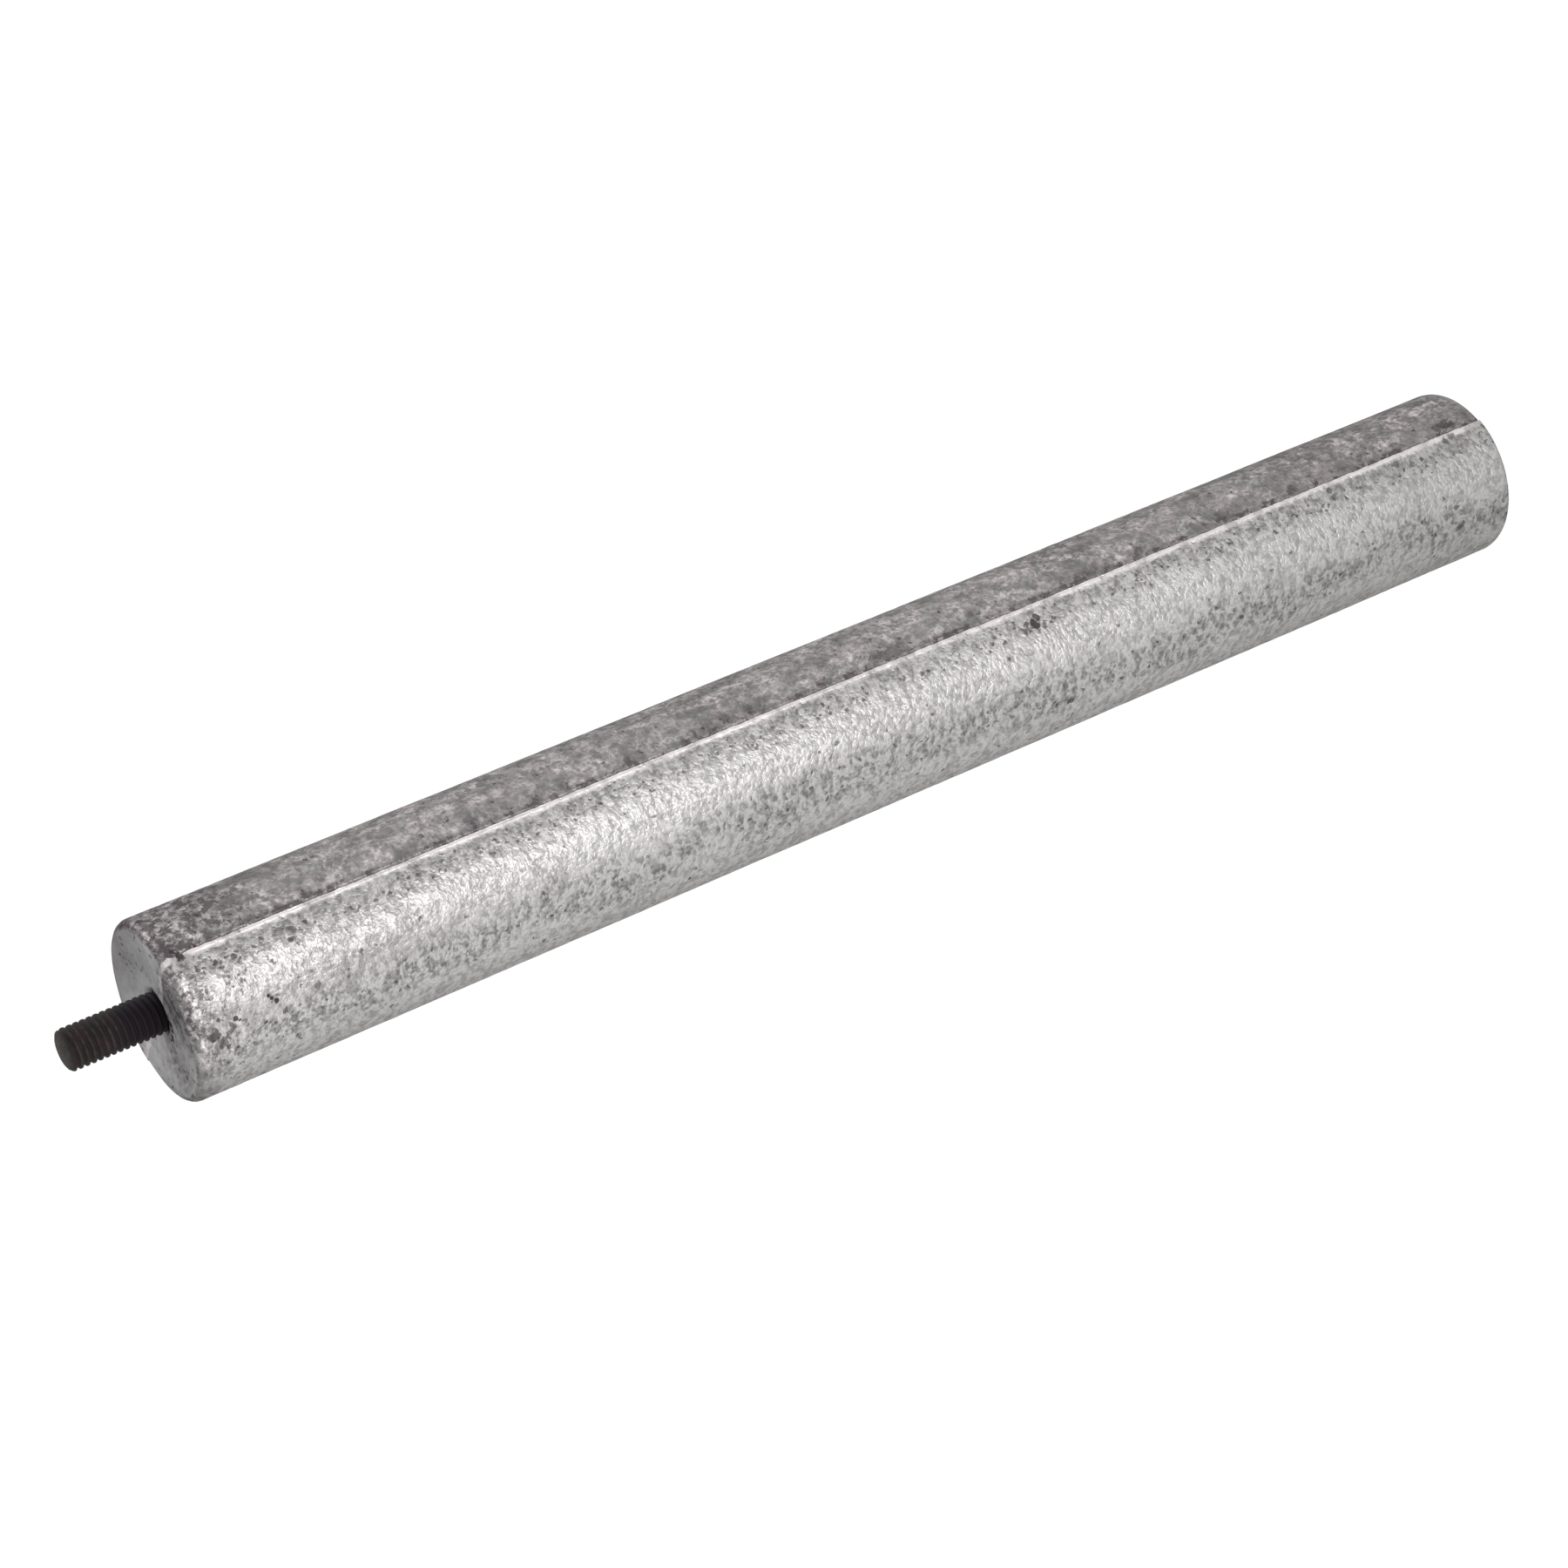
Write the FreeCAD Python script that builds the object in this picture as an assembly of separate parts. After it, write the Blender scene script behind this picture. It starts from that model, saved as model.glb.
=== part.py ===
import FreeCAD, Part
import math
import os

# Magnesium anode rod of a small storage water heater: a cast rod with a threaded steel
# stud standing out of one end. The magnesium is eaten away in place of the steel tank.
#
# The rod stands on its plain end. The origin is the middle of that end's face, +Z runs up
# the rod to the stud, and the two halves of the casting mould met on the plane Y = 0.
# All sizes are in millimetres.

# Cast rod
rod_diameter = 22.0
rod_length = 190.0
foot_round = 0.7  # rounding of the plain end's edge
crown_round = 1.3  # rounding of the stud end's edge
crown_land = 1.7  # flat ring inside that rounding, which seats on the heater's flange
dish_depth = 0.6  # how far the metal sank round the stud as it set

# Parting lines, one along each side of the rod
mould_shift = 0.3  # how far the mould's two halves stood out of line, along X
flash_width = 0.7
flash_height = 0.15  # how far the flash stands above the proud edge beside it
flash_margin = 2.4  # plain stretch between the flash and the rounding at either end

# Nick where the flash broke away beside the stud end
nick_radius = 1.1
nick_depth = 0.4

# Steel stud
stud_diameter = 5.0  # M5, over the crests of its thread
grip_diameter = 4.5  # mean of crests and grooves, where the metal has filled the thread
stud_reach = 11.0  # length that stands out of the flat ring
stud_depth = 15.0  # length below the flat ring, held by the metal
stud_chamfer = 0.6

# Ring left open round the stud where it leaves the metal
mouth_width = 0.4
mouth_depth = 0.5

rod_radius = rod_diameter / 2
stud_radius = stud_diameter / 2
grip_radius = grip_diameter / 2
proud_radius = rod_radius + mould_shift / 2  # reach of a half on the side it shifted to
dish_radius = rod_radius - crown_round - crown_land
dish_floor = rod_length - dish_depth  # height of the dish's middle
mouth_floor = dish_floor - mouth_depth

AXIS_POINT = FreeCAD.Vector(0, 0, 0)
AXIS = FreeCAD.Vector(0, 0, 1)


def section_point(x, z):
    """A point of a long section, which lies in the plane Y = 0."""
    return FreeCAD.Vector(x, 0, z)


def section_arc(centre_x, centre_z, radius, angles):
    """An arc of a long section, through three angles in degrees from +X towards +Z."""
    points = []
    for angle in angles:
        turn = math.radians(angle)
        x = centre_x + radius * math.cos(turn)
        z = centre_z + radius * math.sin(turn)
        points.append(section_point(x, z))
    return Part.Arc(*points).toShape()


def section_line(start, end):
    """A straight edge of a long section, between two (x, z) points."""
    return Part.LineSegment(section_point(*start), section_point(*end)).toShape()


def spin(edges, degrees):
    """The solid that a closed long section sweeps as it turns about the rod's axis."""
    return Part.Face(Part.Wire(edges)).revolve(AXIS_POINT, AXIS, degrees)


def parting_flash():
    """The round-topped flash along the -X parting line, which sinks away at both ends."""
    flash_radius = flash_width / 2
    flash_x = -(proud_radius + flash_height - flash_radius)
    low = foot_round + flash_margin
    high = rod_length - crown_round - flash_margin
    flash = Part.makeCylinder(flash_radius, high - low, section_point(flash_x, low))
    for height in (low, high):
        flash = flash.fuse(Part.makeSphere(flash_radius, section_point(flash_x, height)))
    return flash


def mould_half():
    """What the +Y half of the mould shaped, with the flash on the edge that is proud."""
    foot_flat = rod_radius - foot_round
    crown_flat = rod_radius - crown_round
    crown_start = rod_length - crown_round
    edges = [
        section_line((0, 0), (foot_flat, 0)),
        section_arc(foot_flat, foot_round, foot_round, (-90, -45, 0)),
        section_line((rod_radius, foot_round), (rod_radius, crown_start)),
        section_arc(crown_flat, crown_start, crown_round, (0, 45, 90)),
        section_line((crown_flat, rod_length), (0, rod_length)),
        section_line((0, rod_length), (0, 0)),
    ]
    half = spin(edges, 180)
    half.translate(FreeCAD.Vector(-mould_shift / 2, 0, 0))
    return half.fuse(parting_flash())


def shrinkage_dish():
    """The shallow bowl that was left where the metal sank round the stud."""
    ball_radius = (dish_radius**2 + dish_depth**2) / (2 * dish_depth)
    return Part.makeSphere(ball_radius, section_point(0, dish_floor + ball_radius))


def mouth():
    """The open ring round the stud, which narrows until the metal grips the thread."""
    ring_radius = stud_radius + mouth_width
    flare = (ring_radius - grip_radius) / mouth_depth
    height = rod_length - mouth_floor
    top_radius = grip_radius + flare * height
    return Part.makeCone(grip_radius, top_radius, height, section_point(0, mouth_floor))


def edge_nick():
    """The bite out of the proud +X edge, where the flash broke off beside the stud end."""
    nick_x = proud_radius - nick_depth + nick_radius
    nick_z = rod_length - crown_round - nick_radius
    return Part.makeSphere(nick_radius, section_point(nick_x, nick_z))


def make_stud():
    """The steel stud: a chamfered shank at crest size, on the narrower stretch that is held."""
    bottom = rod_length - stud_depth
    tip = rod_length + stud_reach
    outline = [
        (0, bottom),
        (grip_radius - stud_chamfer, bottom),
        (grip_radius, bottom + stud_chamfer),
        (grip_radius, mouth_floor),
        (stud_radius, rod_length),
        (stud_radius, tip - stud_chamfer),
        (stud_radius - stud_chamfer, tip),
        (0, tip),
    ]
    next_points = outline[1:] + outline[:1]
    edges = [section_line(start, end) for start, end in zip(outline, next_points)]
    return spin(edges, 360)


def make_rod(stud):
    """The magnesium, shaped by two like halves of a mould and poured round the stud."""
    back = mould_half()
    front = mould_half()
    front.rotate(AXIS_POINT, AXIS, 180)
    rod = back.fuse(front).removeSplitter()
    for tool in (shrinkage_dish(), mouth(), edge_nick(), stud):
        rod = rod.cut(tool)
    return rod


def export(name, shape):
    """Writes one sub-part's STEP file and prints what it holds."""
    box = shape.optimalBoundingBox(False)
    print(
        f"{name}: {len(shape.Solids)} solid, {len(shape.Faces)} faces, {shape.Volume:.1f} mm3, "
        f"valid {shape.isValid()}, X {box.XMin:.2f} to {box.XMax:.2f}, "
        f"Y {box.YMin:.2f} to {box.YMax:.2f}, Z {box.ZMin:.2f} to {box.ZMax:.2f}"
    )
    shape.exportStep(f"parts/{name}.step")


def main():
    """Builds both sub-parts and writes them."""
    os.makedirs("parts", exist_ok=True)
    stud = make_stud()
    export("threaded_stud", stud)
    export("anode_rod", make_rod(stud))


main()
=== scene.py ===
# %% [markdown]
# An anode rod for a small water heater. It is a bar of magnesium that is eaten away in place
# of the heater's steel tank, cast round a short threaded stud that screws into the flange.
# Two things carry its looks: the wrinkled skin that the mould leaves on the metal, and the
# parting line where the mould's two halves didn't quite meet.
#
# The construction is loaded first, as a fixed frame. Each piece made below takes its place
# and reach from that frame, and stands for one of its solids.

import math

import bmesh
import bpy
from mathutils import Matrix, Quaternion, Vector


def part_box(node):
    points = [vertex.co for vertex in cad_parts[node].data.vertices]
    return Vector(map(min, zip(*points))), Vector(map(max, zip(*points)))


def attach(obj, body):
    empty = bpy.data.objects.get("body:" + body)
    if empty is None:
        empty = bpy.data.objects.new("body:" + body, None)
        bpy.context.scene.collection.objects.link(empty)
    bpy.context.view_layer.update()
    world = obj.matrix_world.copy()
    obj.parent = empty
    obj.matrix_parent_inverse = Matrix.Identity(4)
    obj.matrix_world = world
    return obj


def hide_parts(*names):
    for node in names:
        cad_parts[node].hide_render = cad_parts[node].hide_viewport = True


MM = 0.001

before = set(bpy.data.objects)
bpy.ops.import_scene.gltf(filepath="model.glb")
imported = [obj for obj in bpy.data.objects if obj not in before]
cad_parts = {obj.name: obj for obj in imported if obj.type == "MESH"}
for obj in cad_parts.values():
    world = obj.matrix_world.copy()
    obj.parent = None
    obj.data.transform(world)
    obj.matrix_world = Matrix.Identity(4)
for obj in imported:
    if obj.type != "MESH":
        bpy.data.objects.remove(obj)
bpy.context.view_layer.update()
bpy.ops.object.select_all(action="DESELECT")
print("nodes:", sorted(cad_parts))

# %% Sizes read from the frame
rod_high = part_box("anode_rod")[1]
stud_low, stud_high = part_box("threaded_stud")
ROD_RADIUS = rod_high.y
ROD_TOP = rod_high.z
STUD_RADIUS = stud_high.x
STUD_TIP = stud_high.z
STUD_BOTTOM = stud_low.z
print(f"rod radius {ROD_RADIUS / MM:.2f} mm, top at {ROD_TOP / MM:.1f} mm, tip at {STUD_TIP / MM:.1f} mm")

# %% [markdown]
# The rod stands on its plain end, but the picture shows it lying across the frame with the
# stud towards the lower left. Nothing has to be laid down for that: a camera that looks
# down on the rod from the side, and is itself turned over, sees it in just that way.

# %% The camera
AIM = Vector((-1.60, -3.26, 107.8)) * MM
CAMERA_AZIMUTH = math.radians(63.710)
CAMERA_ELEVATION = math.radians(26.080)
CAMERA_ROLL = math.radians(-112.852)
CAMERA_DISTANCE = 469 * MM
CAMERA_LENS = 90.304


def direction(azimuth, elevation):
    """The unit vector that points from the rod to a place at that azimuth and elevation."""
    flat = math.cos(elevation)
    return Vector((math.sin(azimuth) * flat, -math.cos(azimuth) * flat, math.sin(elevation)))


towards_camera = direction(CAMERA_AZIMUTH, CAMERA_ELEVATION)
level = (-towards_camera).to_track_quat("-Z", "Y")
bpy.ops.object.camera_add(location=AIM + towards_camera * CAMERA_DISTANCE)
camera = bpy.context.object
camera.rotation_mode = "QUATERNION"
camera.rotation_quaternion = level @ Quaternion((0, 0, 1), CAMERA_ROLL)
camera.data.lens = CAMERA_LENS
camera.data.clip_start = 10 * MM
bpy.context.scene.camera = camera
print("camera at", [round(c / MM, 1) for c in camera.location])

# %% [markdown]
# A shader is easiest to read as a list of nodes, each with what feeds it. This helper adds
# one node, sets its plain settings, and then fills or links its inputs by name.

# %% A helper for nodes
def add_node(tree, kind, settings=None, **inputs):
    """Adds a node, and links the inputs that are given sockets. An underscore is a space."""
    made = tree.nodes.new(kind)
    for name, value in (settings or {}).items():
        setattr(made, name, value)
    for name, value in inputs.items():
        socket = made.inputs[int(name[1:]) if name[1:].isdigit() else name.replace("_", " ")]
        if isinstance(value, bpy.types.NodeSocket):
            tree.links.new(value, socket)
        else:
            socket.default_value = value
    return made


def fresh_tree(material):
    """Empties a material, world or lamp of nodes and hands back its tree."""
    material.use_nodes = True
    material.node_tree.nodes.clear()
    return material.node_tree


# %% [markdown]
# The stage is plain: a pale floor, a pale world and soft lamps. Camera, mirror and glass
# rays see floor and world at full white. All other rays see them at a studio's level, so
# that the light on the rod stays plain and its shadow stays on the floor.

# %% Rays that see the background as white
def sees_white(tree):
    """One for the rays that should find a white background, and nothing for the rest."""
    path = add_node(tree, "ShaderNodeLightPath").outputs
    shine = add_node(
        tree, "ShaderNodeMath", {"operation": "MAXIMUM"},
        _0=path["Is Glossy Ray"], _1=path["Is Transmission Ray"],
    )
    both = add_node(
        tree, "ShaderNodeMath", {"operation": "MAXIMUM"},
        _0=path["Is Camera Ray"], _1=shine.outputs[0],
    )
    return both.outputs[0]


# %% The world
WORLD_LEVEL = 0.45

world = bpy.data.worlds.new("studio")
bpy.context.scene.world = world
tree = fresh_tree(world)
lighting = add_node(tree, "ShaderNodeBackground", Color=(1, 1, 1, 1), Strength=WORLD_LEVEL)
backdrop = add_node(tree, "ShaderNodeBackground", Color=(1, 1, 1, 1), Strength=1.0)
either = add_node(
    tree, "ShaderNodeMixShader", _0=sees_white(tree), _1=lighting.outputs[0], _2=backdrop.outputs[0]
)
add_node(tree, "ShaderNodeOutputWorld", Surface=either.outputs[0])
print("world level", WORLD_LEVEL)

# %% The floor
FLOOR_SIZE = 30.0
FLOOR_ALBEDO = 0.35
FLOOR_GLOW = 0.94
FLOOR_SHADOW_SHARE = 0.15

bpy.ops.mesh.primitive_plane_add(size=FLOOR_SIZE)
floor = bpy.context.object
floor.name = "floor"
floor_paint = bpy.data.materials.new("floor_paint")
tree = fresh_tree(floor_paint)
lit = add_node(tree, "ShaderNodeBsdfDiffuse", Color=(FLOOR_ALBEDO,) * 3 + (1,))
shadowed = add_node(tree, "ShaderNodeBsdfDiffuse", Color=(FLOOR_SHADOW_SHARE,) * 3 + (1,))
glow = add_node(tree, "ShaderNodeEmission", Color=(1, 1, 1, 1), Strength=FLOOR_GLOW)
seen = add_node(tree, "ShaderNodeAddShader", _0=glow.outputs[0], _1=shadowed.outputs[0])
either = add_node(
    tree, "ShaderNodeMixShader", _0=sees_white(tree), _1=lit.outputs[0], _2=seen.outputs[0]
)
add_node(tree, "ShaderNodeOutputMaterial", Surface=either.outputs[0])
floor.data.materials.append(floor_paint)
print("floor", floor.name)

# %% [markdown]
# A softbox low beside the rod gives its side one broad highlight, strongest near the stud. A
# weak one lifts the shade beside the highlight, and a third, large, high and far off, lights
# the other half evenly from end to end.

# %% Lamps
# Azimuth in degrees, height and distance in mm, the two sides in mm, and watts.
SOFTBOXES = {
    "key": (60, 104, 600, (230, 240), 3.1),
    "fill": (2, 215, 340, (90, 90), 0.36),
    "back": (170, 700, 1300, (500, 500), 12),
}


def add_softbox(name, degrees, height, distance, size, watts):
    """A rectangular lamp that faces the rod's axis from beside it. Lengths are in mm."""
    away = direction(math.radians(degrees), 0)
    data = bpy.data.lights.new(name, "AREA")
    data.shape = "RECTANGLE"
    data.size, data.size_y = (side * MM for side in size)
    data.energy = watts
    lamp = bpy.data.objects.new(name, data)
    lamp.location = away * distance * MM + Vector((0, 0, height * MM))
    lamp.rotation_euler = (-away).to_track_quat("-Z", "Y").to_euler()
    bpy.context.scene.collection.objects.link(lamp)
    return lamp


for name, values in SOFTBOXES.items():
    add_softbox(name, *values)
print("lamps:", sorted(SOFTBOXES))

# %% [markdown]
# Modelling by hand means choosing what to act on. A person clicks; a script picks by place.
# This helper selects, in edit mode, every vertex, edge or face whose middle passes a test.

# %% A helper for picking
def middle_of(part):
    """The place of a vertex, or the middle of an edge or a face."""
    if isinstance(part, bmesh.types.BMVert):
        return part.co
    if isinstance(part, bmesh.types.BMEdge):
        return (part.verts[0].co + part.verts[1].co) / 2
    return part.calc_center_median()


def pick(kind, test):
    """Selects the vertices, edges or faces that pass, and deselects the rest."""
    bpy.ops.mesh.select_mode(type={"verts": "VERT", "edges": "EDGE", "faces": "FACE"}[kind])
    bpy.ops.mesh.select_all(action="DESELECT")
    mesh = bmesh.from_edit_mesh(bpy.context.object.data)
    found = [part for part in getattr(mesh, kind) if test(middle_of(part), part)]
    for part in found:
        part.select_set(True)
    mesh.select_flush_mode()
    bmesh.update_edit_mesh(bpy.context.object.data)
    return len(found)


# %% [markdown]
# The rod starts as a cylinder as long as the part between the two rounded edges. The mould
# parted along its sides, so the strips of faces there are cut finer before anything else:
# the step and the flash that will be drawn on them are less than a millimetre wide.

# %% The rod's blank
FOOT_ROUND = 0.7 * MM
CROWN_ROUND = 1.3 * MM
SIDES = 144
SEAM_CUTS = 4

side_length = ROD_TOP - CROWN_ROUND - FOOT_ROUND
bpy.ops.object.select_all(action="DESELECT")
bpy.ops.mesh.primitive_cylinder_add(
    vertices=SIDES, radius=ROD_RADIUS, depth=side_length,
    location=(0, 0, FOOT_ROUND + side_length / 2), rotation=(0, 0, math.pi / SIDES),
)
rod = bpy.context.object
rod.name = "cast_rod"
bpy.ops.object.transform_apply(location=True, rotation=True, scale=True)


def is_upright(edge):
    """Whether an edge runs along the rod."""
    return abs(edge.verts[0].co.z - edge.verts[1].co.z) > MM / 10


side_step = 2 * math.pi * ROD_RADIUS / SIDES
seam_reach = 1.6 * side_step
bpy.ops.object.mode_set(mode="EDIT")
pick("edges", lambda at, edge: abs(at.y) < seam_reach and not is_upright(edge))
bpy.ops.mesh.subdivide(number_cuts=SEAM_CUTS)
bpy.ops.object.mode_set(mode="OBJECT")
print("columns of vertices:", len(rod.data.vertices) // 2)

# %% [markdown]
# The sides are cut into fifty spans first. On these few rows the flash is drawn: it stands
# just inside the proud edge, with a crease above it where the two halves met. The spans are
# cut again afterwards, so the flash runs smoothly along the rod and fades out at both ends.

# %% The flash along both parting lines
SPANS = 50
SPAN_CUTS = 9
SEAM_STEP = side_step / (SEAM_CUTS + 1)

# How far each column of vertices is lifted, in mm. Columns are counted from the parting line,
# and the proud edge has the ones below nothing.
FLASH_LIFTS = {
    -7: 0.02, -6: 0.05, -5: 0.08, -4: 0.12, -3: 0.15, -2: 0.15, -1: 0.12,
    0: 0.00, 1: -0.10, 2: -0.09, 3: -0.04,
}

bpy.ops.object.mode_set(mode="EDIT")
pick("edges", lambda at, edge: is_upright(edge))
bpy.ops.mesh.subdivide(number_cuts=SPANS - 1)
for side in (1, -1):
    for column, lift in FLASH_LIFTS.items():
        across = (column + 0.5) * SEAM_STEP
        pick("verts", lambda at, vert: (
            at.x * side > 0
            and abs(at.y * side - across) < SEAM_STEP / 4
            and FOOT_ROUND + MM < at.z < ROD_TOP - CROWN_ROUND - MM
        ))
        bpy.ops.transform.translate(value=(side * lift * MM, 0, 0))
pick("edges", lambda at, edge: is_upright(edge))
bpy.ops.mesh.subdivide(number_cuts=SPAN_CUTS)
bpy.ops.object.mode_set(mode="OBJECT")
print("vertices on the sides:", len(rod.data.vertices))

# %% [markdown]
# Each end is drawn as a chain of rings. The flat cap of the cylinder is extruded along the
# axis and scaled to the next ring's size, over and over, as one would with E and S. The
# stud's end goes round its rounded edge, over the flat ring that seats on the flange, down
# into the bowl that the cooling metal left, and then down the bore that the stud fills.

# %% A helper that draws the next ring
def draw_ring(radius, height):
    """Extrudes the selected cap to a ring of that radius, at that height."""
    mesh = bmesh.from_edit_mesh(bpy.context.object.data)
    rim = [vert.co for vert in mesh.verts if vert.select]
    ratio = radius / max(at.xy.length for at in rim)
    bpy.ops.mesh.extrude_region_move(TRANSFORM_OT_translate={"value": (0, 0, height - rim[0].z)})
    bpy.ops.transform.resize(value=(ratio, ratio, 1), center_override=(0, 0, height))


# %% The plain end
FOOT_STEPS = 4
FOOT_RINGS = (9.6, 8.6, 7.2, 5.4, 3.2, 1.2)

bpy.ops.object.mode_set(mode="EDIT")
pick("faces", lambda at, face: face.normal.z < -0.9)
for step in range(1, FOOT_STEPS + 1):
    turn = math.pi / 2 * step / FOOT_STEPS
    draw_ring(ROD_RADIUS - FOOT_ROUND * (1 - math.cos(turn)), FOOT_ROUND * (1 - math.sin(turn)))
for radius in FOOT_RINGS:
    draw_ring(radius * MM, 0)

# %% The stud's end
CROWN_STEPS = 6
CROWN_LAND = 1.7 * MM
LAND_STEPS = 4
DISH_DEPTH = 0.6 * MM
DISH_STEPS = 12
MOUTH_WIDTH = 0.4 * MM
MOUTH_DEPTH = 0.5 * MM
GRIP_RADIUS = 2.25 * MM

land_radius = ROD_RADIUS - CROWN_ROUND
dish_radius = land_radius - CROWN_LAND
mouth_radius = STUD_RADIUS + MOUTH_WIDTH
mouth_floor = ROD_TOP - DISH_DEPTH - MOUTH_DEPTH
ball_radius = (dish_radius**2 + DISH_DEPTH**2) / (2 * DISH_DEPTH)


def dish_height(radius):
    """The height of the bowl's surface at a distance from the axis."""
    return ROD_TOP - DISH_DEPTH + ball_radius - math.sqrt(ball_radius**2 - radius**2)


pick("faces", lambda at, face: face.normal.z > 0.9)
for step in range(1, CROWN_STEPS + 1):
    turn = math.pi / 2 * step / CROWN_STEPS
    draw_ring(land_radius + CROWN_ROUND * math.cos(turn), ROD_TOP - CROWN_ROUND * (1 - math.sin(turn)))
for step in range(1, LAND_STEPS + 1):
    draw_ring(land_radius - CROWN_LAND * step / LAND_STEPS, ROD_TOP)
for step in range(1, DISH_STEPS + 1):
    radius = dish_radius - (dish_radius - mouth_radius) * step / DISH_STEPS
    draw_ring(radius, dish_height(radius))
draw_ring((mouth_radius + GRIP_RADIUS) / 2, (dish_height(mouth_radius) + mouth_floor) / 2)
draw_ring(GRIP_RADIUS, mouth_floor)
draw_ring(GRIP_RADIUS, STUD_BOTTOM)
bpy.ops.object.mode_set(mode="OBJECT")
print("rod vertices:", len(rod.data.vertices))

# %% [markdown]
# The halves of the mould stood 0.3 mm out of line. All that one half shaped moves one way
# and the rest moves the other, so each side of the rod has one proud edge. The bowl stays
# in the middle, because the metal sank round the stud only after the mould was full.

# %% The step between the mould's halves
MOULD_SHIFT = 0.3 * MM

bpy.ops.object.mode_set(mode="EDIT")
for side in (1, -1):
    pick("verts", lambda at, vert: at.y * side < 0 and at.xy.length > dish_radius + MM / 10)
    bpy.ops.transform.translate(value=(side * MOULD_SHIFT / 2, 0, 0))
bpy.ops.object.mode_set(mode="OBJECT")
print("reach along X:", round(max(vert.co.x for vert in rod.data.vertices) / MM, 2), "mm")

# %% [markdown]
# Dents are pushed in with soft selection: the vertex nearest to a place is moved inwards,
# and its neighbours follow less and less. The largest one is the bite beside the stud's
# end, where the flash broke away; the rest are pits and knocks of the casting.

# %% A helper that pushes in a dent
def on_side(degrees, height):
    """A place on the rod's side, by its angle from +X towards +Y and its height in mm."""
    turn = math.radians(degrees)
    return Vector((ROD_RADIUS * math.cos(turn), ROD_RADIUS * math.sin(turn), height * MM))


def on_face(degrees, radius):
    """A place on the face round the stud, by its angle and its distance from the axis in mm."""
    turn = math.radians(degrees)
    flat = radius * MM
    return Vector((flat * math.cos(turn), flat * math.sin(turn), dish_height(flat)))


def push_in(at, depth, reach):
    """Moves the vertex nearest to a place towards the axis, with its neighbours in reach."""
    mesh = bmesh.from_edit_mesh(bpy.context.object.data)
    nearest = min(mesh.verts, key=lambda vert: (vert.co - at).length_squared).co.copy()
    pick("verts", lambda place, vert: place == nearest)
    inwards = Vector((-at.x, -at.y, 0)).normalized() * depth
    bpy.ops.transform.translate(
        value=inwards, use_proportional_edit=True, proportional_edit_falloff="SMOOTH",
        proportional_size=reach, use_proportional_connected=True,
    )


# %% Dents
# Angle from +X towards +Y in degrees, then height, depth and reach in mm. The bite comes first.
DENTS = (
    (-2, 187.6, 0.4, 1.6),
    (-43, 180.0, 0.16, 0.8),
    (-48, 184.8, 0.14, 0.9),
    (-14, 184.9, 0.14, 0.8),
    (-14, 73.8, 0.22, 1.3),
    (-12, 72.8, 0.16, 1.0),
    (-72, 71.4, 0.18, 0.9),
    (-52, 9.0, 0.12, 1.0),
    (-4, 6.6, 0.12, 1.1),
)

bpy.ops.object.mode_set(mode="EDIT")
for degrees, height, depth, reach in DENTS:
    push_in(on_side(degrees, height), depth * MM, reach * MM)
bpy.ops.object.mode_set(mode="OBJECT")
print("dents:", len(DENTS))

# %% [markdown]
# A casting is never quite straight or smooth. Cloud patterns sink its skin a little, never
# outwards, so that it stays at its size: long waves, then the lumps of the mould's coating.
# The flash gets a ragged pattern of its own, and the face round the stud a smooth one. The
# finest wrinkles are left to the material.

# %% Waves, lumps and the ragged flash
GROUPS = {
    "skin": lambda at: MM / 4 < at.z < ROD_TOP - MM and at.xy.length > land_radius,
    "face": lambda at: at.z > ROD_TOP - 1.2 * MM and at.xy.length > mouth_radius - MM / 10,
    "flash": lambda at: abs(at.y) < 3.6 * SEAM_STEP and at.xy.length > ROD_RADIUS + 0.16 * MM,
}


def roughen(piece, name, lump, depth, group):
    """Sinks the surface by a cloud pattern, down to a depth and never outwards."""
    texture = bpy.data.textures.new(name, "CLOUDS")
    texture.noise_scale = lump * MM
    texture.noise_depth = 1
    bpy.ops.object.modifier_add(type="DISPLACE")
    modifier = piece.modifiers[-1]
    modifier.texture = texture
    modifier.strength = depth * MM
    modifier.mid_level = 1.0
    modifier.vertex_group = group
    bpy.ops.object.modifier_apply(modifier=modifier.name)


for group, belongs in GROUPS.items():
    rod.vertex_groups.new(name=group)
    bpy.ops.object.mode_set(mode="EDIT")
    pick("verts", lambda at, vert: belongs(at))
    bpy.ops.object.vertex_group_assign()
    bpy.ops.object.mode_set(mode="OBJECT")
roughen(rod, "long_waves", 9.0, 0.06, "skin")
roughen(rod, "lumps", 1.5, 0.06, "skin")
roughen(rod, "ragged_flash", 0.9, 0.14, "flash")
roughen(rod, "sunk_face", 2.4, 0.10, "face")
bpy.ops.object.mode_set(mode="EDIT")
bpy.ops.mesh.select_all(action="SELECT")
bpy.ops.mesh.normals_make_consistent(inside=False)
bpy.ops.object.mode_set(mode="OBJECT")
bpy.ops.object.shade_smooth_by_angle(angle=math.radians(40))
print("rod faces:", len(rod.data.polygons))

# %% [markdown]
# The stud is an M5 thread, 0.8 mm to a turn. One turn's profile is drawn in the XZ plane by
# extruding a single vertex from point to point, and a Screw modifier winds it up the axis.

# %% The thread's profile
PITCH = 0.8 * MM
THREAD_DEPTH = 0.28 * MM
CREST_BREAK = 0.04 * MM
WOUND_TURNS = math.ceil((STUD_TIP - STUD_BOTTOM) / PITCH) + 1
THREAD_START = STUD_BOTTOM - PITCH

crest = STUD_RADIUS
root = STUD_RADIUS - THREAD_DEPTH

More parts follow.
